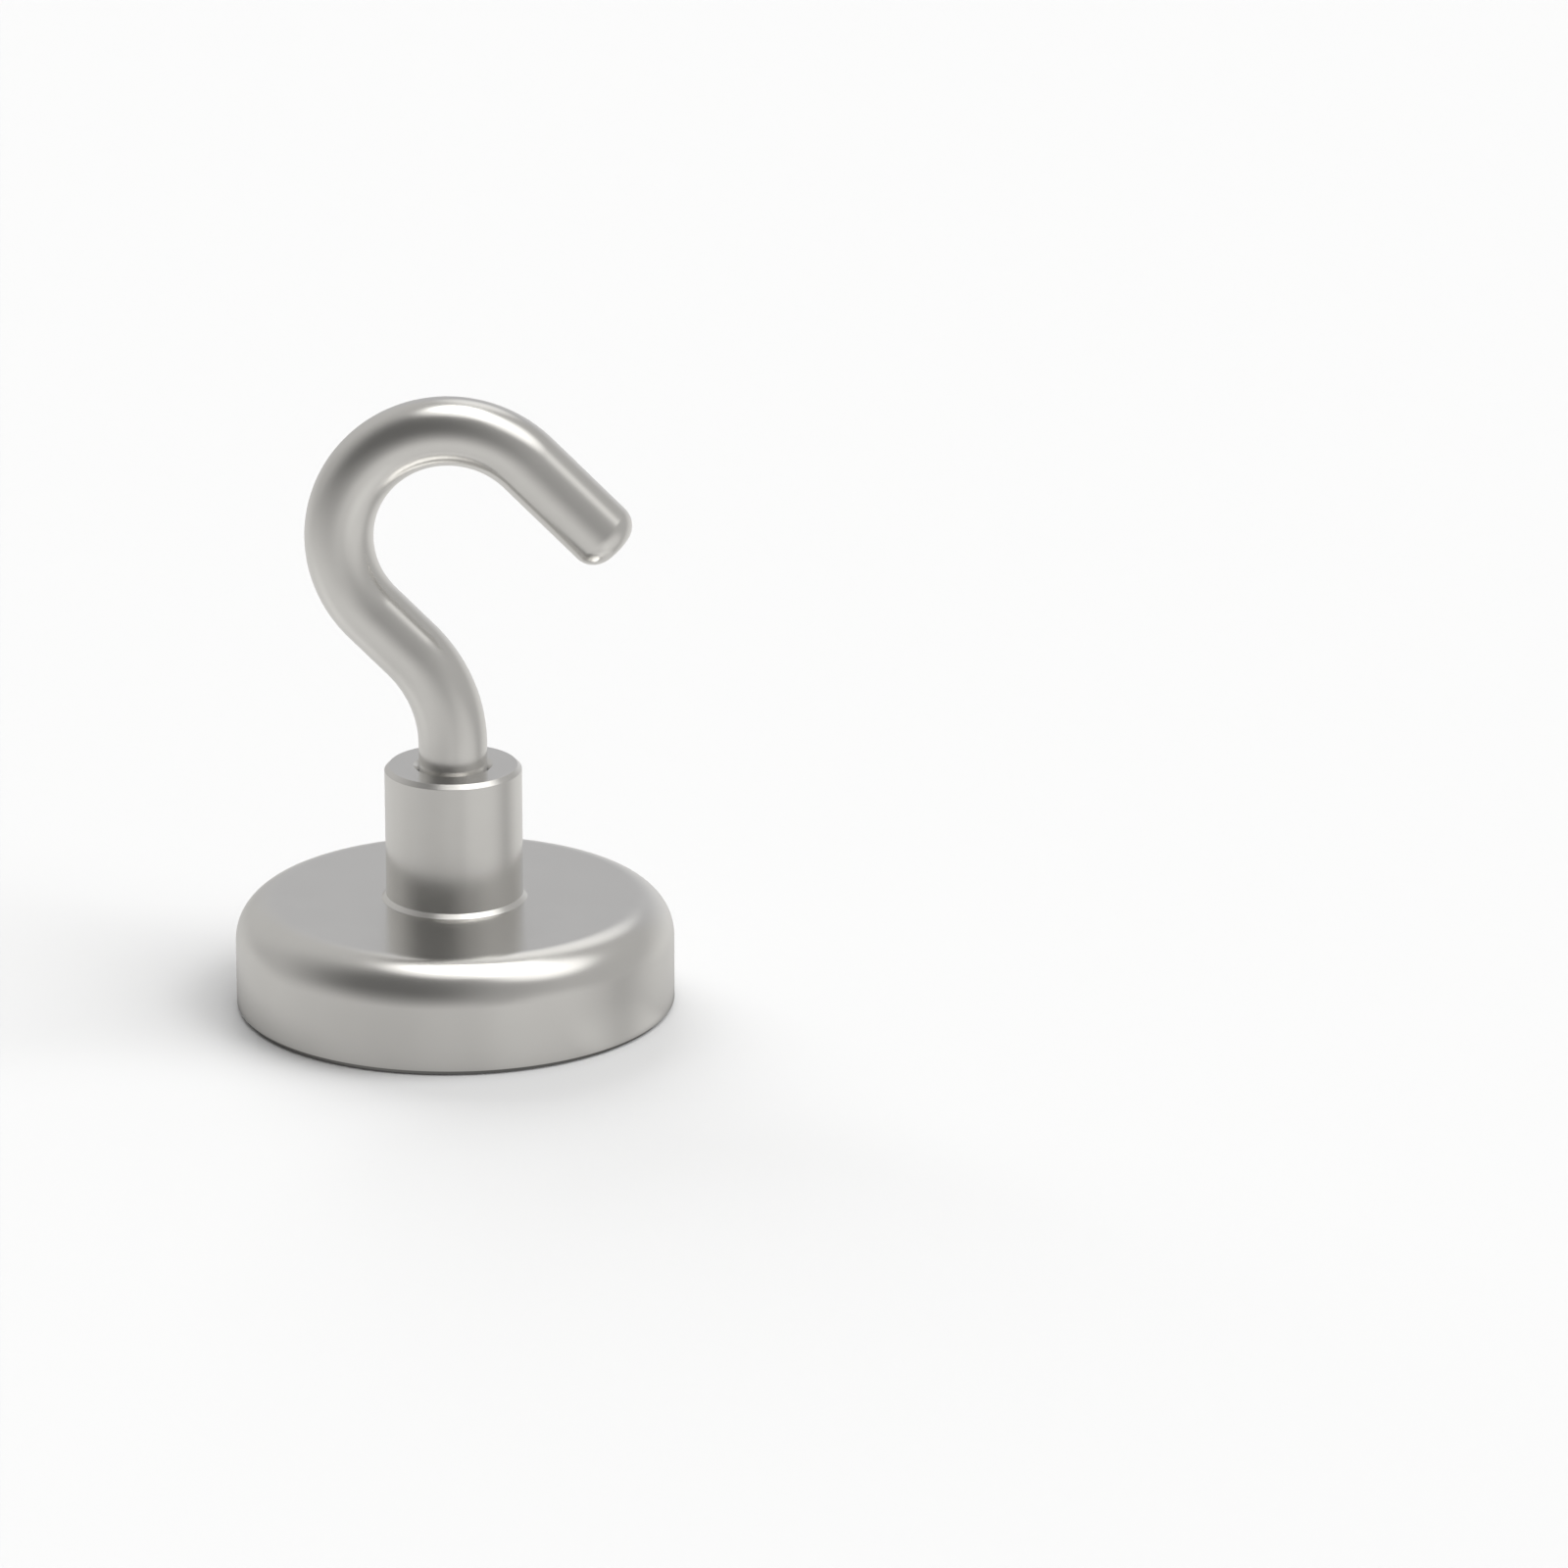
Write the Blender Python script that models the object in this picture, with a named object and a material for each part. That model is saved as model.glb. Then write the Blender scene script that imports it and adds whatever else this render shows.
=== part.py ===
"""Pot magnet with a screw-in hook.

A steel pot holds a disc magnet in a resin ring. A threaded bush is clinched
through the pot's roof, and a bent round rod screws into the bush.

Metres, +Z up. The origin is the centre of the magnet face, which lies at
z = 0. The hook lies in the XZ plane, and its open side faces +X.
"""
import math

import bmesh
import bpy

MM = 0.001

# ---------------------------------------------------------------- dimensions
# Steel pot
POT_RADIUS = 12.5 * MM
POT_HEIGHT = 6.3 * MM
POT_SHOULDER = 2.4 * MM          # outer fillet between the side and the top
POT_EDGE = 0.25 * MM             # chamfers on the rim, outside and inside
POT_ROOF = 1.6 * MM              # thickness of the top wall
POCKET_RADIUS = 10.56 * MM
POCKET_FILLET = 0.8 * MM
POT_HOLE_RADIUS = 2.6 * MM       # hole that takes the bush's spigot
CLINCH_DEPTH = 0.82 * MM         # countersink under the roof

# Bush
BUSH_RADIUS = 3.9 * MM
BUSH_TOP = 14.18 * MM
BUSH_EDGE = 0.25 * MM            # chamfers at the top, outside and at the mouth
FLARE_WIDTH = 0.215 * MM         # conical foot where the bush meets the pot
FLARE_HEIGHT = 0.266 * MM
BORE_RADIUS = 2.0 * MM           # plain part of the bore, above the thread
TAP_RADIUS = 1.66 * MM           # crests of the inner thread
INNER_MAJOR = 2.03 * MM          # roots of the inner thread
SPIGOT_RADIUS = 2.55 * MM

# Thread, closed rings at the pitch of an M4 thread: they hold the shank
# along its axis and leave it free to turn.
PITCH = 0.7 * MM
FLANK = math.tan(math.radians(30.0))
OUTER_CREST = 1.93 * MM
OUTER_ROOT = 1.501 * MM
OUTER_FLAT = 0.0875 * MM
INNER_FLAT = 0.12 * MM
FIRST_RING = 7.35 * MM           # height of the shank's lowest ring
OUTER_RINGS = 8
INNER_RINGS = 10

# Hook
ROD_RADIUS = 1.945 * MM
SHANK_END = 6.7 * MM
RUNOUT_START = 12.75 * MM
BEND_START = 15.45 * MM          # height where the rod starts to bend
SBEND_RADIUS = 7.82 * MM         # centreline radii
LOOP_RADIUS = 6.28 * MM
LEAN = math.radians(45.0)        # how far the rod leans before the loop
LOOP_TURN = math.radians(180.0)
LEG_LENGTH = 6.95 * MM
TIP_ROUND = 1.28 * MM

# Magnet, resin and glue
MAGNET_RADIUS = 9.37 * MM
MAGNET_HEIGHT = 4.4 * MM
MAGNET_EDGE = 0.2 * MM
RING_SETBACK = 0.54 * MM         # how far the resin lies behind the face
RING_HEIGHT = 4.3 * MM
GLUE_RADIUS = 9.2 * MM
GLUE_THICKNESS = 0.2 * MM

FACE_GAP = 0.05 * MM             # between pieces that touch

POT_SIDES = 60
BUSH_SIDES = 36
ROD_SIDES = 24
SHOULDER_STEPS = 8
POCKET_STEPS = 3
SBEND_STEPS = 9
LOOP_STEPS = 36
TIP_STEPS = 6


# ------------------------------------------------------------------- helpers
def clear_scene():
    for obj in list(bpy.data.objects):
        bpy.data.objects.remove(obj, do_unlink=True)


def make_material(name, colour, roughness, metallic):
    mat = bpy.data.materials.new(name)
    mat.use_nodes = True
    shader = mat.node_tree.nodes["Principled BSDF"]
    shader.inputs["Base Color"].default_value = (*colour, 1.0)
    shader.inputs["Roughness"].default_value = roughness
    shader.inputs["Metallic"].default_value = metallic
    mat.diffuse_color = (*colour, 1.0)
    return mat


def empty(name, location):
    obj = bpy.data.objects.new(name, None)
    obj.empty_display_size = 2 * MM
    obj.location = location
    bpy.context.collection.objects.link(obj)
    return obj


def finish(name, bm, material, parent):
    """Close the mesh, shade it and hang the object on its parent."""
    bmesh.ops.recalc_face_normals(bm, faces=bm.faces)
    mesh = bpy.data.meshes.new(name)
    bm.to_mesh(mesh)
    bm.free()
    mesh.materials.append(material)
    mesh.shade_smooth()
    mesh.set_sharp_from_angle(angle=math.radians(35.0))
    obj = bpy.data.objects.new(name, mesh)
    bpy.context.collection.objects.link(obj)
    obj.parent = parent
    return obj


def arc(centre_r, centre_z, radius, start, end, steps):
    """Profile points on an arc, both ends included; angles in degrees."""
    points = []
    for i in range(steps + 1):
        a = math.radians(start + (end - start) * i / steps)
        points.append((centre_r + radius * math.cos(a),
                       centre_z + radius * math.sin(a)))
    return points


def turned(name, profile, sides, material, parent, closed=True):
    """Spin a profile of (radius, height) points about the Z axis.

    A closed profile gives a body with a hole along the axis. An open one
    starts and ends on the axis and gives a solid body.
    """
    bm = bmesh.new()
    verts = [bm.verts.new((r, 0.0, z)) for r, z in profile]
    pairs = list(zip(verts, verts[1:]))
    if closed:
        pairs.append((verts[-1], verts[0]))
    edges = [bm.edges.new(pair) for pair in pairs]
    bmesh.ops.spin(bm, geom=verts + edges, cent=(0, 0, 0), axis=(0, 0, 1),
                   angle=math.tau, steps=sides, use_merge=True,
                   use_duplicate=False)
    bmesh.ops.remove_doubles(bm, verts=bm.verts, dist=1e-7)
    return finish(name, bm, material, parent)


# -------------------------------------------------------------------- shapes
def pot_profile():
    floor = POT_HEIGHT - POT_ROOF
    points = [(POT_RADIUS - POT_EDGE, 0.0), (POT_RADIUS, POT_EDGE)]
    points += arc(POT_RADIUS - POT_SHOULDER, POT_HEIGHT - POT_SHOULDER,
                  POT_SHOULDER, 0, 90, SHOULDER_STEPS)
    points += [(POT_HOLE_RADIUS, POT_HEIGHT),
               (POT_HOLE_RADIUS, floor + CLINCH_DEPTH),
               (POT_HOLE_RADIUS + CLINCH_DEPTH, floor)]
    points += arc(POCKET_RADIUS - POCKET_FILLET, floor - POCKET_FILLET,
                  POCKET_FILLET, 90, 0, POCKET_STEPS)
    points += [(POCKET_RADIUS, POT_EDGE), (POCKET_RADIUS + POT_EDGE, 0.0)]
    return points


def inner_thread():
    """Crest and root points up the bore, from the lowest ring to the top."""
    half = INNER_FLAT / 2
    points = []
    for k in range(INNER_RINGS):
        z = FIRST_RING - 1.5 * PITCH + k * PITCH
        root = INNER_MAJOR if k < INNER_RINGS - 1 else BORE_RADIUS
        rise = (INNER_MAJOR - TAP_RADIUS) * FLANK
        if k > 0:
            points.append((INNER_MAJOR, z - half - rise))
            points.append((TAP_RADIUS, z - half))
        points.append((TAP_RADIUS, z + half))
        points.append((root, z + half + (root - TAP_RADIUS) * FLANK))
    return points


def bush_profile():
    foot = POT_HEIGHT + FACE_GAP
    floor = POT_HEIGHT - POT_ROOF + FACE_GAP
    slope = FLARE_WIDTH / FLARE_HEIGHT
    head = CLINCH_DEPTH - 1.4 * FACE_GAP
    points = [(SPIGOT_RADIUS, foot),
              (BUSH_RADIUS + FLARE_WIDTH - FACE_GAP * slope, foot),
              (BUSH_RADIUS, POT_HEIGHT + FLARE_HEIGHT),
              (BUSH_RADIUS, BUSH_TOP - BUSH_EDGE),
              (BUSH_RADIUS - BUSH_EDGE, BUSH_TOP),
              (BORE_RADIUS + BUSH_EDGE, BUSH_TOP),
              (BORE_RADIUS, BUSH_TOP - BUSH_EDGE)]
    points += reversed(inner_thread())
    points += [(TAP_RADIUS, floor + 0.2 * MM),
               (TAP_RADIUS + 0.2 * MM, floor),
               (SPIGOT_RADIUS + head, floor),
               (SPIGOT_RADIUS, floor + head)]
    return points


def magnet_profile():
    c = MAGNET_EDGE
    return [(0.0, 0.0), (MAGNET_RADIUS - c, 0.0), (MAGNET_RADIUS, c),
            (MAGNET_RADIUS, MAGNET_HEIGHT - c),
            (MAGNET_RADIUS - c, MAGNET_HEIGHT), (0.0, MAGNET_HEIGHT)]


def ring_profile():
    inner = MAGNET_RADIUS + FACE_GAP
    outer = POCKET_RADIUS - FACE_GAP
    return [(inner, RING_SETBACK), (outer, RING_SETBACK),
            (outer, RING_HEIGHT - 0.5 * MM),
            (outer - 0.31 * MM, RING_HEIGHT), (inner, RING_HEIGHT)]


def glue_profile():
    top = POT_HEIGHT - POT_ROOF - FACE_GAP
    return [(0.0, top - GLUE_THICKNESS), (GLUE_RADIUS, top - GLUE_THICKNESS),
            (GLUE_RADIUS, top), (0.0, top)]


def shank_stations():
    """Radius at each height of the straight shank, bottom to top."""
    half = OUTER_FLAT / 2
    reach = half + (OUTER_CREST - OUTER_ROOT) * FLANK
    stations = [(SHANK_END, OUTER_ROOT - 0.2 * MM),
                (SHANK_END + 0.2 * MM, OUTER_ROOT)]
    for k in range(OUTER_RINGS):
        z = FIRST_RING + k * PITCH
        stations += [(z - reach, OUTER_ROOT), (z - half, OUTER_CREST),
                     (z + half, OUTER_CREST), (z + reach, OUTER_ROOT)]
    stations += [(RUNOUT_START, OUTER_ROOT),
                 (RUNOUT_START + ROD_RADIUS - OUTER_ROOT, ROD_RADIUS)]
    return stations


def rod_stations():
    """(x, z, heading, radius) along the whole hook, shank end to tip.

    The heading is the angle from +Z towards -X. The rod leans towards -X,
    runs straight until the loop's centre lies on the stem's axis, and then
    turns half round over the top.
    """
    out = [(0.0, z, 0.0, r) for z, r in shank_stations()]
    for i in range(SBEND_STEPS + 1):
        a = LEAN * i / SBEND_STEPS
        out.append((-SBEND_RADIUS * (1 - math.cos(a)),
                    BEND_START + SBEND_RADIUS * math.sin(a), a, ROD_RADIUS))
    x, z, a, _ = out[-1]
    straight = (LOOP_RADIUS * math.cos(LEAN) + x) / math.sin(LEAN)
    x -= straight * math.sin(a)
    z += straight * math.cos(a)
    centre_x = x + LOOP_RADIUS * math.cos(LEAN)
    centre_z = z + LOOP_RADIUS * math.sin(LEAN)
    for i in range(LOOP_STEPS + 1):
        a = LEAN - LOOP_TURN * i / LOOP_STEPS
        out.append((centre_x - LOOP_RADIUS * math.cos(a),
                    centre_z - LOOP_RADIUS * math.sin(a), a, ROD_RADIUS))
    x, z, a, _ = out[-1]
    for i in range(TIP_STEPS + 1):
        b = math.radians(90.0 * i / TIP_STEPS)
        s = LEG_LENGTH - TIP_ROUND * (1 - math.sin(b))
        out.append((x - s * math.sin(a), z + s * math.cos(a), a,
                    ROD_RADIUS - TIP_ROUND * (1 - math.cos(b))))
    return out


def build_hook(material, parent):
    """Rings of vertices square to the rod's path, joined and capped."""
    bm = bmesh.new()
    rings = []
    for x, z, heading, radius in rod_stations():
        across = (math.cos(heading), math.sin(heading))
        ring = []
        for i in range(ROD_SIDES):
            t = math.tau * i / ROD_SIDES
            u = radius * math.cos(t)
            ring.append(bm.verts.new((x + u * across[0],
                                      radius * math.sin(t),
                                      z + u * across[1] - BUSH_TOP)))
        rings.append(ring)
    for low, high in zip(rings, rings[1:]):
        for i in range(ROD_SIDES):
            j = (i + 1) % ROD_SIDES
            bm.faces.new((low[i], low[j], high[j], high[i]))
    bm.faces.new(list(reversed(rings[0])))
    bm.faces.new(rings[-1])
    return finish("hook", bm, material, parent)


# --------------------------------------------------------------------- build
def main():
    clear_scene()

    pot_nickel = make_material("pot_nickel", (0.66, 0.65, 0.62), 0.30, 1.0)
    bush_nickel = make_material("bush_nickel", (0.66, 0.65, 0.62), 0.26, 1.0)
    rod_nickel = make_material("rod_nickel", (0.68, 0.67, 0.64), 0.24, 1.0)
    magnet_nickel = make_material("magnet_nickel", (0.58, 0.57, 0.55), 0.34, 1.0)
    resin = make_material("resin", (0.74, 0.70, 0.69), 0.70, 0.0)
    glue = make_material("glue", (0.72, 0.66, 0.50), 0.55, 0.0)

    base = empty("base_frame", (0.0, 0.0, 0.0))
    stem_axis = empty("stem_axis", (0.0, 0.0, BUSH_TOP))
    stem_axis.parent = base

    turned("magnet_cup", pot_profile(), POT_SIDES, pot_nickel, base)
    turned("threaded_bush", bush_profile(), BUSH_SIDES, bush_nickel, base)
    turned("magnet_disc", magnet_profile(), POT_SIDES, magnet_nickel, base,
           closed=False)
    turned("potting_ring", ring_profile(), POT_SIDES, resin, base)
    turned("adhesive_layer", glue_profile(), POT_SIDES, glue, base,
           closed=False)
    build_hook(rod_nickel, stem_axis)


main()
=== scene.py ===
"""Looks of a pot magnet with a screw-in hook.

Every piece is a fine mesh in place of the plain solid of the same part. All
of them are outlines in (radius, distance) that are carried round a path: the
stem's axis for the turned parts, and the bent centreline for the hook.
Metres, +Z up, the magnet face at z = 0, the hook in the XZ plane.
"""
import math

import bpy
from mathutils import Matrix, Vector


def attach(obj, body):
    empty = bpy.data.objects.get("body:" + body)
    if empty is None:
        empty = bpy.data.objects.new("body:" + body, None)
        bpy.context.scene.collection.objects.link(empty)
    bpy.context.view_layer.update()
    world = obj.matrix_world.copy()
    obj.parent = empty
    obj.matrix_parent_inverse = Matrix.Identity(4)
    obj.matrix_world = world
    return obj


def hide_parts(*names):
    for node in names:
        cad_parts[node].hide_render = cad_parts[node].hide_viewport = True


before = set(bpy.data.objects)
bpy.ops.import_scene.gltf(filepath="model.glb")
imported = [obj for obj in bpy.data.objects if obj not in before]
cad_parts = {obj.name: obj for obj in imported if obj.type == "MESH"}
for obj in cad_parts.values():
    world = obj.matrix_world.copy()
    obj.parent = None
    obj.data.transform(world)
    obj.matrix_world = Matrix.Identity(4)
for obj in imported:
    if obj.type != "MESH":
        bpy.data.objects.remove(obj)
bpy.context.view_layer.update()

MM = 0.001

# ---------------------------------------------------------------- dimensions
POT_RADIUS, POT_HEIGHT, POT_SHOULDER = 12.5 * MM, 6.3 * MM, 2.4 * MM
POT_EDGE, POT_ROOF = 0.25 * MM, 1.6 * MM
POCKET_RADIUS, POCKET_FILLET = 10.56 * MM, 0.8 * MM
POT_HOLE_RADIUS, CLINCH_DEPTH = 2.6 * MM, 0.82 * MM

BUSH_RADIUS, BUSH_TOP, BUSH_EDGE = 3.9 * MM, 14.18 * MM, 0.25 * MM
FLARE_WIDTH, FLARE_HEIGHT = 0.262 * MM, 0.25 * MM
BORE_RADIUS, TAP_RADIUS, INNER_MAJOR = 1.957 * MM, 1.66 * MM, 2.03 * MM
MOUTH_EDGE = 0.293 * MM
SPIGOT_RADIUS = 2.55 * MM

PITCH, FLANK = 0.7 * MM, math.tan(math.radians(30.0))
OUTER_CREST, OUTER_ROOT, OUTER_FLAT = 1.93 * MM, 1.501 * MM, 0.0875 * MM
INNER_FLAT, FIRST_RING = 0.12 * MM, 7.35 * MM
OUTER_RINGS, INNER_RINGS = 8, 10

ROD_RADIUS, SHANK_END, RUNOUT_START = 1.945 * MM, 6.7 * MM, 12.75 * MM
BEND_START, SBEND_RADIUS, LOOP_RADIUS = 15.45 * MM, 7.82 * MM, 6.28 * MM
LEAN, LOOP_TURN = math.radians(45.0), math.radians(180.0)
LEG_LENGTH, TIP_ROUND = 7.01 * MM, 1.28 * MM

MAGNET_RADIUS, MAGNET_HEIGHT, MAGNET_EDGE = 9.37 * MM, 4.4 * MM, 0.2 * MM
RING_SETBACK, RING_HEIGHT = 0.54 * MM, 4.3 * MM
GLUE_RADIUS, GLUE_THICKNESS, FACE_GAP = 9.2 * MM, 0.2 * MM, 0.05 * MM

BREAK = 0.03 * MM                # how far a worked edge is rounded
SEAT = 0.004 * MM                # gap left where two pieces sit together


# ------------------------------------------------------------------ outlines
def unit(x, y):
    n = math.hypot(x, y)
    return (x / n, y / n) if n > 1e-12 else (1.0, 0.0)


def outline(corners, closed=True):
    """Rounds the corners (r, s, rounding, steps) of an outline.

    The solid lies on the left of the outline. Returns its points, and for
    each stretch between two points the outward normals at its two ends.
    """
    n = len(corners)
    points, spans = [], []

    def add(point, normals):
        if points:
            spans.append(normals)
        points.append(point)

    for i, (r, s, rounding, steps) in enumerate(corners):
        inner = closed or 0 < i < n - 1
        if not inner:
            if i == 0:
                add((r, s), None)
            else:
                d = unit(r - points[-1][0], s - points[-1][1])
                add((r, s), ((d[1], -d[0]), (d[1], -d[0])))
            continue
        before, after = corners[i - 1], corners[(i + 1) % n]
        a = unit(r - before[0], s - before[1])
        b = unit(after[0] - r, after[1] - s)
        turn = math.atan2(a[0] * b[1] - a[1] * b[0], a[0] * b[0] + a[1] * b[1])
        cut = rounding * math.tan(abs(turn) / 2)
        start = (r - a[0] * cut, s - a[1] * cut)
        na, nb = (a[1], -a[0]), (b[1], -b[0])
        add(start, (na, na))
        if rounding <= 0 or abs(turn) < 1e-6:
            continue
        side = 1.0 if turn > 0 else -1.0
        centre = (start[0] - na[0] * rounding * side,
                  start[1] - na[1] * rounding * side)
        last = na
        for k in range(1, steps + 1):
            t = turn * k / steps
            m = (na[0] * math.cos(t) - na[1] * math.sin(t),
                 na[0] * math.sin(t) + na[1] * math.cos(t))
            add((centre[0] + m[0] * rounding * side,
                 centre[1] + m[1] * rounding * side), (last, m))
            last = m
    if closed:
        d = unit(points[0][0] - points[-1][0], points[0][1] - points[-1][1])
        spans.append(((d[1], -d[0]), (d[1], -d[0])))
    return points, spans


def swept(name, shape, sides, body, node, material, path=None,
          closed=True, wobble=None):
    """Carries an outline round a path and makes the piece that stands for node.

    path(s) gives the point, the direction across and the direction along. An
    open outline starts and ends on the path. wobble(r, s, angle) moves a
    point by a small (dr, ds).
    """
    points, spans = shape
    if path is None:
        def path(s):
            return (Vector((0, 0, s)), Vector((1, 0, 0)), Vector((0, 0, 1)))
    side_axis = Vector((0, 1, 0))
    verts, rings = [], []
    for r, s in points:
        origin, across, along = path(s)
        if r < 1e-9:
            rings.append([len(verts)])
            verts.append(origin)
            continue
        ring = []
        for j in range(sides):
            t = math.tau * j / sides
            dr, ds = wobble(r, s, t) if wobble else (0.0, 0.0)
            out = across * math.cos(t) + side_axis * math.sin(t)
            ring.append(len(verts))
            verts.append(origin + out * (r + dr) + along * ds)
        rings.append(ring)
    faces, corner_normals = [], []
    pairs = [(i, i + 1) for i in range(len(points) - 1)]
    if closed:
        pairs.append((len(points) - 1, 0))
    for (i, k), (ni, nk) in zip(pairs, spans):
        low, high = rings[i], rings[k]
        _, across_i, along_i = path(points[i][1])
        _, across_k, along_k = path(points[k][1])
        for j in range(sides):
            m = (j + 1) % sides
            tj, tm = math.tau * j / sides, math.tau * (j + 1) / sides
            if len(low) == 1 and len(high) == 1:
                break
            if len(low) == 1:
                corners = [(low[0], 0, tj), (high[m], 1, tm), (high[j], 1, tj)]
            elif len(high) == 1:
                corners = [(low[j], 0, tj), (low[m], 0, tm), (high[0], 1, tj)]
            else:
                corners = [(low[j], 0, tj), (low[m], 0, tm),
                           (high[m], 1, tm), (high[j], 1, tj)]
            faces.append([c[0] for c in corners])
            for _, end, t in corners:
                nr, ns = nk if end else ni
                across = across_k if end else across_i
                along = along_k if end else along_i
                out = across * math.cos(t) + side_axis * math.sin(t)
                corner_normals.append((out * nr + along * ns).normalized())
    mesh = bpy.data.meshes.new(name)
    mesh.from_pydata(verts, [], faces)
    mesh.shade_smooth()
    if wobble is None:
        mesh.normals_split_custom_set(corner_normals)
    mesh.materials.append(material)
    obj = bpy.data.objects.new(name, mesh)
    bpy.context.scene.collection.objects.link(obj)
    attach(obj, body)
    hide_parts(node)
    return obj


# ----------------------------------------------------------------- materials
class Nodes:
    """A short way to write a material's nodes."""

    def __init__(self, name):
        self.material = bpy.data.materials.new(name)
        self.material.use_nodes = True
        self.tree = self.material.node_tree
        self.shader = self.tree.nodes["Principled BSDF"]
        self.coord = self.tree.nodes.new("ShaderNodeTexCoord").outputs["Object"]

    def link(self, source, target):
        self.tree.links.new(source, target)

    def noise(self, scale, detail=2.0, rough=0.5, stretch=None):
        n = self.tree.nodes.new("ShaderNodeTexNoise")
        n.inputs["Scale"].default_value = scale
        n.inputs["Detail"].default_value = detail
        n.inputs["Roughness"].default_value = rough
        if stretch:
            m = self.tree.nodes.new("ShaderNodeMapping")
            m.inputs["Scale"].default_value = stretch
            self.link(self.coord, m.inputs["Vector"])
            self.link(m.outputs["Vector"], n.inputs["Vector"])
        else:
            self.link(self.coord, n.inputs["Vector"])
        return n.outputs["Fac"]

    def map(self, value, low, high, to_low, to_high):
        m = self.tree.nodes.new("ShaderNodeMapRange")
        m.inputs["From Min"].default_value = low
        m.inputs["From Max"].default_value = high
        m.inputs["To Min"].default_value = to_low
        m.inputs["To Max"].default_value = to_high
        self.link(value, m.inputs["Value"])
        return m.outputs["Result"]

    def ramp(self, value, low, high, dark, light):
        n = self.tree.nodes.new("ShaderNodeValToRGB")
        e = n.color_ramp.elements
        e[0].position, e[0].color = low, (*dark, 1.0)
        e[1].position, e[1].color = high, (*light, 1.0)
        self.link(value, n.inputs["Fac"])
        return n.outputs["Color"]

    def bump(self, height, strength, distance, normal=None):
        n = self.tree.nodes.new("ShaderNodeBump")
        n.inputs["Strength"].default_value = strength
        n.inputs["Distance"].default_value = distance
        self.link(height, n.inputs["Height"])
        if normal is not None:
            self.link(normal, n.inputs["Normal"])
        return n.outputs["Normal"]


def nickel(name, tint, rough, spread=0.01, grain=0.12, grain_scale=9000.0):
    """Satin nickel plate: slow clouds in tone and gloss, and a fine grain."""
    n = Nodes(name)
    n.shader.inputs["Metallic"].default_value = 1.0
    cloud = n.noise(260.0, 3.0, 0.55)
    dark = tuple(c * (1.0 - spread) for c in tint)
    light = tuple(c * (1.0 + spread) for c in tint)
    n.link(n.ramp(cloud, 0.35, 0.65, dark, light), n.shader.inputs["Base Color"])
    gloss = n.noise(900.0, 4.0, 0.6)
    n.link(n.map(gloss, 0.3, 0.7, rough - 0.012, rough + 0.012),
           n.shader.inputs["Roughness"])
    fine = n.noise(grain_scale, 2.0, 0.5)
    n.link(n.bump(fine, grain, 0.000002), n.shader.inputs["Normal"])
    return n.material


def cast_resin(name):
    """Pale matt resin, slightly mottled, with a soft uneven skin."""
    n = Nodes(name)
    n.shader.inputs["Roughness"].default_value = 0.62
    n.shader.inputs["Specular IOR Level"].default_value = 0.35
    mottle = n.noise(700.0, 4.0, 0.6)
    n.link(n.ramp(mottle, 0.3, 0.7, (0.79, 0.763, 0.766), (0.85, 0.823, 0.826)),
           n.shader.inputs["Base Color"])
    skin = n.noise(1800.0, 3.0, 0.55)
    n.link(n.bump(skin, 0.25, 0.00002), n.shader.inputs["Normal"])
    return n.material


def cured_glue(name):
    """Thin film of amber glue."""
    n = Nodes(name)
    n.shader.inputs["Specular IOR Level"].default_value = 0.5
    streak = n.noise(500.0, 3.0, 0.5)
    n.link(n.ramp(streak, 0.3, 0.7, (0.55, 0.45, 0.26), (0.68, 0.58, 0.38)),
           n.shader.inputs["Base Color"])
    n.link(n.map(streak, 0.3, 0.7, 0.35, 0.5), n.shader.inputs["Roughness"])
    n.link(n.bump(streak, 0.4, 0.00003), n.shader.inputs["Normal"])
    return n.material


ROUGH = 0.22
POT_NICKEL = nickel("pot_nickel", (0.702, 0.696, 0.680), ROUGH)
BUSH_NICKEL = nickel("bush_nickel", (0.696, 0.690, 0.674), ROUGH)
ROD_NICKEL = nickel("rod_nickel", (0.696, 0.690, 0.674), ROUGH)
MAGNET_NICKEL = nickel("magnet_nickel", (0.69, 0.684, 0.669), 0.25, 0.02, 0.2)
RESIN = cast_resin("cast_resin")
GLUE = cured_glue("cured_glue")


# --------------------------------------------------------------- steel pot
def pot_outline():
    floor = POT_HEIGHT - POT_ROOF
    b = BREAK
    return outline([
        (POT_RADIUS - POT_EDGE, 0.0, b, 3),
        (POT_RADIUS, POT_EDGE, b, 3),
        (POT_RADIUS, POT_HEIGHT, POT_SHOULDER, 36),
        (POT_HOLE_RADIUS, POT_HEIGHT, b, 3),
        (POT_HOLE_RADIUS, floor + CLINCH_DEPTH, 0.0, 1),
        (POT_HOLE_RADIUS + CLINCH_DEPTH, floor, b, 3),
        (POCKET_RADIUS, floor, POCKET_FILLET, 10),
        (POCKET_RADIUS, POT_EDGE, b, 3),
        (POCKET_RADIUS + POT_EDGE, 0.0, b, 3),
    ])


swept("steel_pot", pot_outline(), 240, "base", "magnet_cup",
      POT_NICKEL)


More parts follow.
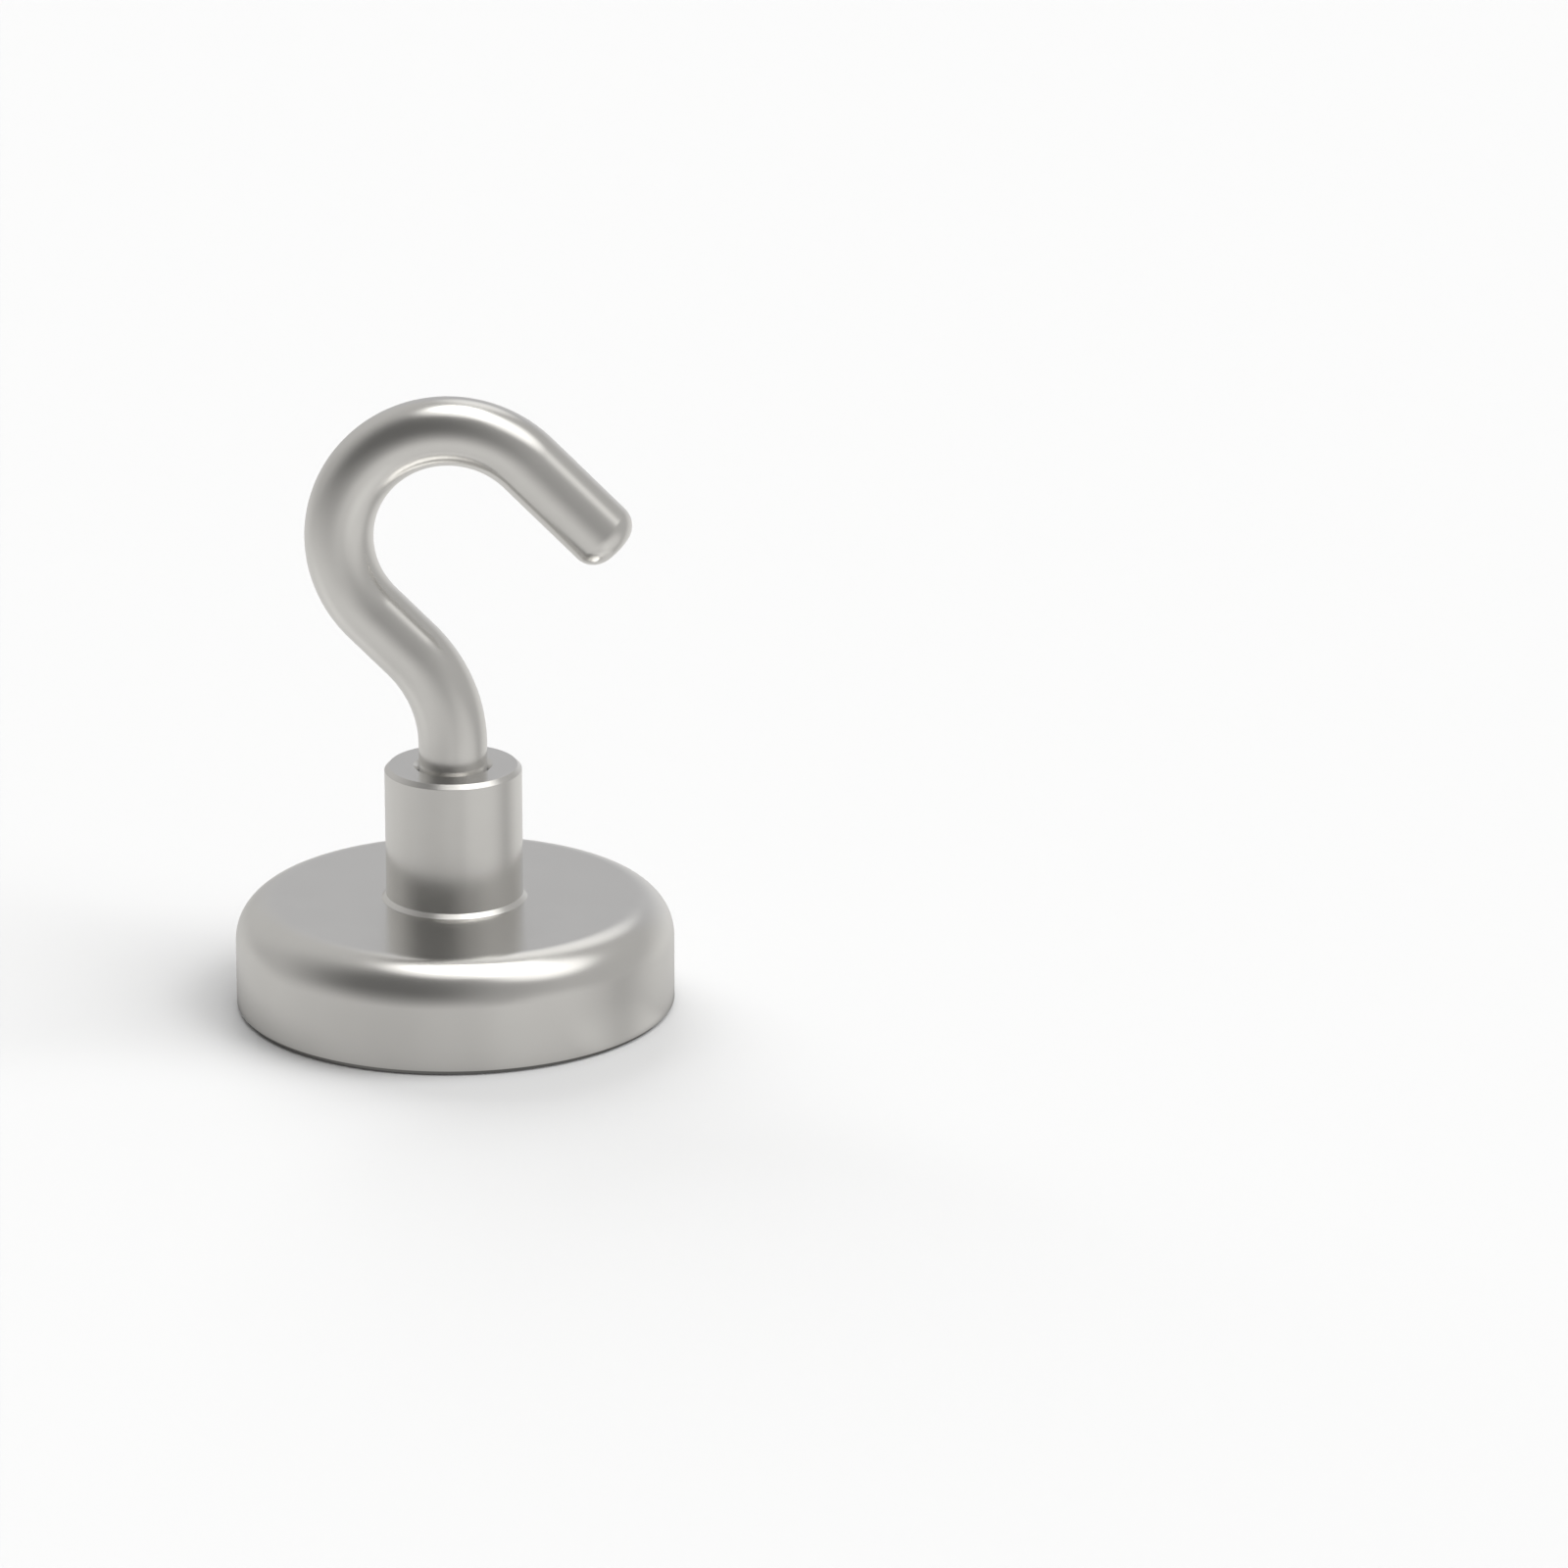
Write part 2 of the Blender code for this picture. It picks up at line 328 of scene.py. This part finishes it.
# ---------------------------------------------------------------- turned bush
def inner_thread():
    half = INNER_FLAT / 2
    rise = (INNER_MAJOR - TAP_RADIUS) * FLANK
    corners = []
    for k in range(INNER_RINGS):
        z = FIRST_RING - 1.5 * PITCH + k * PITCH
        root = INNER_MAJOR if k < INNER_RINGS - 1 else BORE_RADIUS
        if k > 0:
            corners.append((INNER_MAJOR, z - half - rise, 0.0, 1))
            corners.append((TAP_RADIUS, z - half, 0.0, 1))
        corners.append((TAP_RADIUS, z + half, 0.0, 1))
        corners.append((root, z + half + (root - TAP_RADIUS) * FLANK, 0.0, 1))
    return corners


def bush_outline():
    foot = POT_HEIGHT + SEAT
    floor = POT_HEIGHT - POT_ROOF + FACE_GAP
    slope = FLARE_WIDTH / FLARE_HEIGHT
    head = CLINCH_DEPTH - 1.4 * FACE_GAP
    b = BREAK
    return outline([
        (SPIGOT_RADIUS, foot, 0.0, 1),
        (BUSH_RADIUS + FLARE_WIDTH - SEAT * slope, foot, 0.0, 1),
        (BUSH_RADIUS, POT_HEIGHT + FLARE_HEIGHT, b, 3),
        (BUSH_RADIUS, BUSH_TOP - BUSH_EDGE, b, 3),
        (BUSH_RADIUS - BUSH_EDGE, BUSH_TOP, b, 3),
        (BORE_RADIUS + MOUTH_EDGE, BUSH_TOP, b, 3),
        (BORE_RADIUS, BUSH_TOP - MOUTH_EDGE, b, 3),
        *reversed(inner_thread()),
        (TAP_RADIUS, floor + 0.2 * MM, b, 3),
        (TAP_RADIUS + 0.2 * MM, floor, b, 3),
        (SPIGOT_RADIUS + head, floor, b, 3),
        (SPIGOT_RADIUS, floor + head, 0.0, 1),
    ])


swept("turned_bush", bush_outline(), 180, "base", "threaded_bush",
      BUSH_NICKEL)


# ----------------------------------------------------------------------- hook
def hook_path():
    """Returns path(s) for the bent rod; s is the height on the straight shank."""
    straight = ((LOOP_RADIUS * math.cos(LEAN)
                 - SBEND_RADIUS * (1 - math.cos(LEAN))) / math.sin(LEAN))
    s1 = BEND_START
    s2 = s1 + SBEND_RADIUS * LEAN
    s3 = s2 + straight
    s4 = s3 + LOOP_RADIUS * LOOP_TURN
    x2 = -SBEND_RADIUS * (1 - math.cos(LEAN))
    z2 = BEND_START + SBEND_RADIUS * math.sin(LEAN)
    x3 = x2 - straight * math.sin(LEAN)
    z3 = z2 + straight * math.cos(LEAN)
    cx = x3 + LOOP_RADIUS * math.cos(LEAN)
    cz = z3 + LOOP_RADIUS * math.sin(LEAN)
    end = LEAN - LOOP_TURN
    x4, z4 = cx - LOOP_RADIUS * math.cos(end), cz - LOOP_RADIUS * math.sin(end)

    def path(s):
        if s <= s1:
            x, z, a = 0.0, s, 0.0
        elif s <= s2:
            a = (s - s1) / SBEND_RADIUS
            x = -SBEND_RADIUS * (1 - math.cos(a))
            z = BEND_START + SBEND_RADIUS * math.sin(a)
        elif s <= s3:
            a = LEAN
            x, z = x2 - (s - s2) * math.sin(a), z2 + (s - s2) * math.cos(a)
        elif s <= s4:
            a = LEAN - (s - s3) / LOOP_RADIUS
            x, z = cx - LOOP_RADIUS * math.cos(a), cz - LOOP_RADIUS * math.sin(a)
        else:
            a = end
            x, z = x4 - (s - s4) * math.sin(a), z4 + (s - s4) * math.cos(a)
        return (Vector((x, 0, z)), Vector((math.cos(a), 0, math.sin(a))),
                Vector((-math.sin(a), 0, math.cos(a))))

    return path, (s1, s2, s3, s4)


def hook_outline(marks):
    """From the shank's end on the axis, up the rod, to the tip on the axis."""
    half = OUTER_FLAT / 2
    reach = half + (OUTER_CREST - OUTER_ROOT) * FLANK
    end = marks[3] + LEG_LENGTH
    corners = [(0.0, SHANK_END, 0.0, 1),
               (OUTER_ROOT - 0.2 * MM, SHANK_END, BREAK, 3),
               (OUTER_ROOT, SHANK_END + 0.2 * MM, BREAK, 3)]
    for k in range(OUTER_RINGS):
        z = FIRST_RING + k * PITCH
        corners += [(OUTER_ROOT, z - reach, 0.0, 1), (OUTER_CREST, z - half, 0.0, 1),
                    (OUTER_CREST, z + half, 0.0, 1), (OUTER_ROOT, z + reach, 0.0, 1)]
    corners += [(OUTER_ROOT, RUNOUT_START, 0.0, 1),
                (ROD_RADIUS, RUNOUT_START + ROD_RADIUS - OUTER_ROOT, 0.0, 1)]

    def stretch(a, b, steps):
        for i in range(steps):
            corners.append((ROD_RADIUS, a + (b - a) * i / steps, 0.0, 1))

    stretch(marks[0], marks[1], 30)
    stretch(marks[1], marks[2], 4)
    stretch(marks[2], marks[3], 108)
    stretch(marks[3], end - TIP_ROUND - 0.4 * MM, 6)
    corners += [(ROD_RADIUS, end, TIP_ROUND, 24), (0.0, end, 0.0, 1)]
    return outline(corners, closed=False)


path, marks = hook_path()
swept("bent_hook", hook_outline(marks), 72, "hook", "hook",
      ROD_NICKEL, path=path, closed=False)


# ----------------------------------------------------- magnet, resin and glue
def magnet_outline():
    c, b = MAGNET_EDGE, BREAK
    return outline([
        (0.0, 0.0, 0.0, 1),
        (MAGNET_RADIUS - c, 0.0, b, 3),
        (MAGNET_RADIUS, c, b, 3),
        (MAGNET_RADIUS, MAGNET_HEIGHT - c, b, 3),
        (MAGNET_RADIUS - c, MAGNET_HEIGHT, b, 3),
        (0.0, MAGNET_HEIGHT, 0.0, 1),
    ], closed=False)


swept("disc_magnet", magnet_outline(), 240, "base", "magnet_disc",
      MAGNET_NICKEL, closed=False)


def resin_outline():
    """The face is a shallow hollow that climbs a little at both walls."""
    inner, outer = MAGNET_RADIUS + SEAT, POCKET_RADIUS - SEAT
    middle, half = (inner + outer) / 2, (outer - inner) / 2
    corners = []
    for i in range(13):
        u = -1 + 2 * i / 12
        corners.append((middle + half * u,
                        RING_SETBACK - 0.05 * MM * u ** 4, 0.0, 1))
    corners += [(outer, RING_HEIGHT - 0.5 * MM, 0.1 * MM, 3),
                (outer - 0.31 * MM, RING_HEIGHT, 0.1 * MM, 3),
                (inner, RING_HEIGHT, 0.0, 1)]
    return outline(corners)


swept("resin_ring", resin_outline(), 240, "base", "potting_ring",
      RESIN)


def glue_outline():
    top = POT_HEIGHT - POT_ROOF - FACE_GAP
    low = top - GLUE_THICKNESS
    return outline([
        (0.0, low, 0.0, 1),
        (GLUE_RADIUS - 0.02 * MM, low, 0.09 * MM, 6),
        (GLUE_RADIUS - 0.02 * MM, top, 0.09 * MM, 6),
        (0.0, top, 0.0, 1),
    ], closed=False)


def glue_edge(r, s, t):
    """The film's edge runs in and out a little, as pressed glue does."""
    share = max(0.0, r / GLUE_RADIUS - 0.9) * 10.0
    wave = (math.sin(3 * t + 0.4) + 0.6 * math.sin(7 * t + 1.9)
            + 0.3 * math.sin(16 * t + 0.7))
    return (-0.09 * MM * share * (1.0 + wave / 2.0), 0.0)


swept("glue_film", glue_outline(), 120, "base", "adhesive_layer", GLUE,
      closed=False, wobble=glue_edge)


# --------------------------------------------------------------------- studio
def direction(azimuth, elevation):
    """Azimuth 0 is behind the object (+Y), 90 is on its right (+X)."""
    a, e = math.radians(azimuth), math.radians(elevation)
    return (math.cos(e) * math.sin(a), math.cos(e) * math.cos(a), math.sin(e))


# The studio round the object: an even surround, a bright overhead panel that
# reaches down on the right, a soft light behind, the unlit side of the room
# towards the front left, and a pale ground. (name, azimuth, elevation, full
# within this many degrees, gone past this many, strength)
SURROUND = 0.538
PANELS = [
    ("overhead", 31.6, 84.5, 13.8, 14.9, 2.481),
    ("overhead_wide", 103.3, 86.3, 20.1, 26.1, 0.844),
    ("right_key", 104.8, 57.3, 6.7, 28.2, 1.175),
    ("rear_soft", 10.8, 44.2, 0.0, 20.0, 0.594),
    ("left_soft", 326.2, 28.7, 5.1, 36.2, 0.089),
    ("front_dark", 218.2, 27.1, 13.3, 63.7, -0.250),
    ("camera_side", 188.4, 35.0, 30.0, 66.0, -0.128),
    ("low_front", 213.8, -46.0, 17.2, 73.6, 0.225),
    ("low_left", 309.9, -37.3, 0.0, 50.4, 0.230),
    ("low_right", 123.3, -31.5, 0.2, 42.4, 0.237),
    ("rear_low", 26.0, -18.7, 0.1, 48.3, 0.270),
    ("beneath", 17.0, -85.9, 29.4, 37.4, 0.234),
]
WARM, COOL = (1.0, 0.985, 0.96), (0.0, 0.25, 1.0)
COOL_PANELS = [("low_behind", 5.0, 18.0, 4.0, 34.0, 0.028)]
# Soft lamps that only matt surfaces see: they give the floor its shadow
LAMPS = [   # name, azimuth, elevation, angle across, strength
    ("key_lamp", 96.0, 42.0, 50.0, 3.015),
    ("high_lamp", 96.0, 70.0, 50.0, 1.149),
    ("rear_lamp", 336.0, 28.0, 50.0, 3.878),
]
FLOOR_TONE, FLOOR_SEEN = 0.3986, 0.985

world = bpy.data.worlds.new("studio")
bpy.context.scene.world = world
world.use_nodes = True
nt = world.node_tree
nt.nodes.clear()
out = nt.nodes.new("ShaderNodeOutputWorld")
coord = nt.nodes.new("ShaderNodeTexCoord")


def panel_sum(panels, start, colour):
    """The panels' light on top of an even start, in one colour."""
    total = None
    for name, az, el, full, gone, strength in panels:
        dot = nt.nodes.new("ShaderNodeVectorMath")
        dot.operation = "DOT_PRODUCT"
        dot.label = name
        dot.inputs[1].default_value = direction(az, el)
        nt.links.new(coord.outputs["Generated"], dot.inputs[0])
        fall = nt.nodes.new("ShaderNodeMapRange")
        fall.interpolation_type = "SMOOTHSTEP"
        fall.inputs["From Min"].default_value = math.cos(math.radians(gone))
        fall.inputs["From Max"].default_value = math.cos(math.radians(full))
        fall.inputs["To Min"].default_value = 0.0
        fall.inputs["To Max"].default_value = strength
        nt.links.new(dot.outputs["Value"], fall.inputs["Value"])
        add = nt.nodes.new("ShaderNodeMath")
        add.operation = "ADD"
        add.inputs[1].default_value = start
        if total is not None:
            nt.links.new(total, add.inputs[1])
        nt.links.new(fall.outputs["Result"], add.inputs[0])
        total = add.outputs["Value"]
    least = nt.nodes.new("ShaderNodeMath")
    least.operation = "MAXIMUM"
    least.inputs[1].default_value = 0.0
    nt.links.new(total, least.inputs[0])
    scale = nt.nodes.new("ShaderNodeVectorMath")
    scale.operation = "SCALE"
    scale.inputs[0].default_value = colour
    nt.links.new(least.outputs["Value"], scale.inputs["Scale"])
    return scale.outputs["Vector"]


both = nt.nodes.new("ShaderNodeVectorMath")
both.operation = "ADD"
nt.links.new(panel_sum(PANELS, SURROUND, WARM), both.inputs[0])
nt.links.new(panel_sum(COOL_PANELS, 0.0, COOL), both.inputs[1])
lit = nt.nodes.new("ShaderNodeBackground")
lit.inputs["Strength"].default_value = 1.0
nt.links.new(both.outputs["Vector"], lit.inputs["Color"])
seen = nt.nodes.new("ShaderNodeBackground")
seen.inputs["Color"].default_value = (1.0, 1.0, 1.0, 1.0)
seen.inputs["Strength"].default_value = FLOOR_SEEN
ray = nt.nodes.new("ShaderNodeLightPath")
mix = nt.nodes.new("ShaderNodeMixShader")
nt.links.new(ray.outputs["Is Camera Ray"], mix.inputs["Fac"])
nt.links.new(lit.outputs["Background"], mix.inputs[1])
nt.links.new(seen.outputs["Background"], mix.inputs[2])
nt.links.new(mix.outputs["Shader"], out.inputs["Surface"])

for name, az, el, across, strength in LAMPS:
    lamp = bpy.data.lights.new(name, "SUN")
    lamp.energy = strength
    lamp.angle = math.radians(across)
    obj = bpy.data.objects.new(name, lamp)
    obj.rotation_euler = Vector(direction(az, el)).to_track_quat("Z", "Y").to_euler()
    obj.visible_glossy = False
    bpy.context.scene.collection.objects.link(obj)

# Floor: a wide round sheet just under the magnet face
FLOOR_RADIUS, FLOOR_Z = 6.0, -0.01 * MM
rings = [0.0] + [0.02 * 1.35 ** k for k in range(20)]
verts, faces = [(0.0, 0.0, FLOOR_Z)], []
for r in rings[1:]:
    r = min(r, FLOOR_RADIUS)
    verts += [(r * math.cos(math.tau * j / 96), r * math.sin(math.tau * j / 96),
               FLOOR_Z) for j in range(96)]
for j in range(96):
    m = (j + 1) % 96
    faces.append((0, 1 + j, 1 + m))
    for k in range(len(rings) - 2):
        a, b = 1 + 96 * k, 1 + 96 * (k + 1)
        faces.append((a + j, b + j, b + m, a + m))
mesh = bpy.data.meshes.new("floor")
mesh.from_pydata(verts, [], faces)
sheet = Nodes("studio_floor")
sheet.shader.inputs["Base Color"].default_value = (FLOOR_TONE, FLOOR_TONE * 1.004,
                                                   FLOOR_TONE * 1.012, 1.0)
sheet.shader.inputs["Roughness"].default_value = 1.0
sheet.shader.inputs["Specular IOR Level"].default_value = 0.0


def floor_shade(d):
    """How much of the ground's light a reflection keeps at d mm from the pot's foot."""
    return (1.0 - 0.50 * math.exp(-d / 0.25) - 0.13 * math.exp(-d / 1.2)
            - 0.22 * math.exp(-d / 10.0))


# Reflections see the pale ground through the sheet, with a painted shade that darkens
# it towards the foot
SHADE_REACH = 60.0
away = sheet.tree.nodes.new("ShaderNodeVectorMath")
away.operation = "LENGTH"
sheet.link(sheet.coord, away.inputs[0])
share = sheet.map(away.outputs["Value"], POT_RADIUS,
                  POT_RADIUS + SHADE_REACH * MM, 0.0, 1.0)
shade = sheet.tree.nodes.new("ShaderNodeValToRGB")
stops = [0.0, 0.15, 0.35, 0.7, 1.2, 2.0, 3.5, 6.0, 10.0, 16.0, 26.0, 40.0, 60.0]
ramp = shade.color_ramp
while len(ramp.elements) < len(stops):
    ramp.elements.new(0.5)
for element, d in zip(ramp.elements, stops):
    element.position = d / SHADE_REACH
    element.color = (*(floor_shade(d),) * 3, 1.0)
sheet.link(share, shade.inputs["Fac"])


def smooth(value, low, high, to_low, to_high):
    """A soft step from to_low at low to to_high at high."""
    m = sheet.tree.nodes.new("ShaderNodeMapRange")
    m.interpolation_type = "SMOOTHSTEP"
    m.inputs["From Min"].default_value = low
    m.inputs["From Max"].default_value = high
    m.inputs["To Min"].default_value = to_low
    m.inputs["To Max"].default_value = to_high
    sheet.link(value, m.inputs["Value"])
    return m.outputs["Result"]


def maths(operation, a, b):
    """A sum, product or the like of two numbers or node outputs."""
    m = sheet.tree.nodes.new("ShaderNodeMath")
    m.operation = operation
    for socket, value in zip(m.inputs, (a, b)):
        if isinstance(value, float):
            socket.default_value = value
        else:
            sheet.link(value, socket)
    return m.outputs["Value"]


bearing = sheet.tree.nodes.new("ShaderNodeVectorMath")
bearing.operation = "NORMALIZE"
sheet.link(sheet.coord, bearing.inputs[0])


def patch(azimuth, full, gone, near, far):
    """1 by the foot on one side, fading to 0 round the pot and away from it."""
    dot = sheet.tree.nodes.new("ShaderNodeVectorMath")
    dot.operation = "DOT_PRODUCT"
    dot.inputs[1].default_value = direction(azimuth, 0.0)
    sheet.link(bearing.outputs["Vector"], dot.inputs[0])
    round_it = smooth(dot.outputs["Value"], math.cos(math.radians(gone)),
                      math.cos(math.radians(full)), 0.0, 1.0)
    close_by = smooth(away.outputs["Value"], POT_RADIUS + near * MM,
                      POT_RADIUS + far * MM, 1.0, 0.0)
    return maths("MULTIPLY", round_it, close_by)


# Painted shadow on the side away from the key panel, where the pot's shadow falls;
# on the lit side a painted patch of light makes the ground brighter just off the foot,
# as if the pot threw light onto it
shadow = maths("MULTIPLY", patch(268.0, 15.0, 66.0, -0.5, 5.0), 0.31)
painted_light_patch = maths("MULTIPLY", patch(118.0, 6.0, 22.0, 3.0, 8.0),
               smooth(away.outputs["Value"], POT_RADIUS + 0.2 * MM,
                      POT_RADIUS + 0.9 * MM, 0.0, 1.0))
kept = sheet.tree.nodes.new("ShaderNodeVectorMath")
kept.operation = "MULTIPLY_ADD"
sheet.link(shade.outputs["Color"], kept.inputs[0])
sheet.link(maths("MULTIPLY", maths("SUBTRACT", 1.0, shadow),
                 maths("SUBTRACT", 1.0, painted_light_patch)), kept.inputs[1])
sheet.link(painted_light_patch, kept.inputs[2])
# Reflection and shadow rays pass through the sheet, tinted by this painted shade and
# painted light
through = sheet.tree.nodes.new("ShaderNodeBsdfTransparent")
sheet.link(kept.outputs["Vector"], through.inputs["Color"])
light_path = sheet.tree.nodes.new("ShaderNodeLightPath")
passes = sheet.tree.nodes.new("ShaderNodeMath")
passes.operation = "MAXIMUM"
sheet.link(light_path.outputs["Is Glossy Ray"], passes.inputs[0])
sheet.link(light_path.outputs["Is Shadow Ray"], passes.inputs[1])
either = sheet.tree.nodes.new("ShaderNodeMixShader")
sheet.link(passes.outputs["Value"], either.inputs["Fac"])
sheet.link(sheet.shader.outputs["BSDF"], either.inputs[1])
sheet.link(through.outputs["BSDF"], either.inputs[2])
sheet.link(either.outputs["Shader"],
           sheet.tree.nodes["Material Output"].inputs["Surface"])
mesh.materials.append(sheet.material)
floor = bpy.data.objects.new("floor", mesh)
bpy.context.scene.collection.objects.link(floor)

# Camera: where the photograph was taken from
cam_data = bpy.data.cameras.new("camera")
cam_data.lens = 201.5
cam_data.sensor_width = 36.0
cam_data.clip_start = 0.01
cam_data.clip_end = 20.0
cam = bpy.data.objects.new("camera", cam_data)
cam.location = (39.26 * MM, -470.73 * MM, 171.67 * MM)
cam.rotation_euler = (math.radians(90.0 - 18.581), 0.0, math.radians(2.4916))
bpy.context.scene.collection.objects.link(cam)
bpy.context.scene.camera = cam

view = bpy.context.scene.view_settings
view.view_transform = "Standard"
view.look = "None"
view.exposure = 0.0
view.gamma = 1.0

bpy.context.view_layer.update()
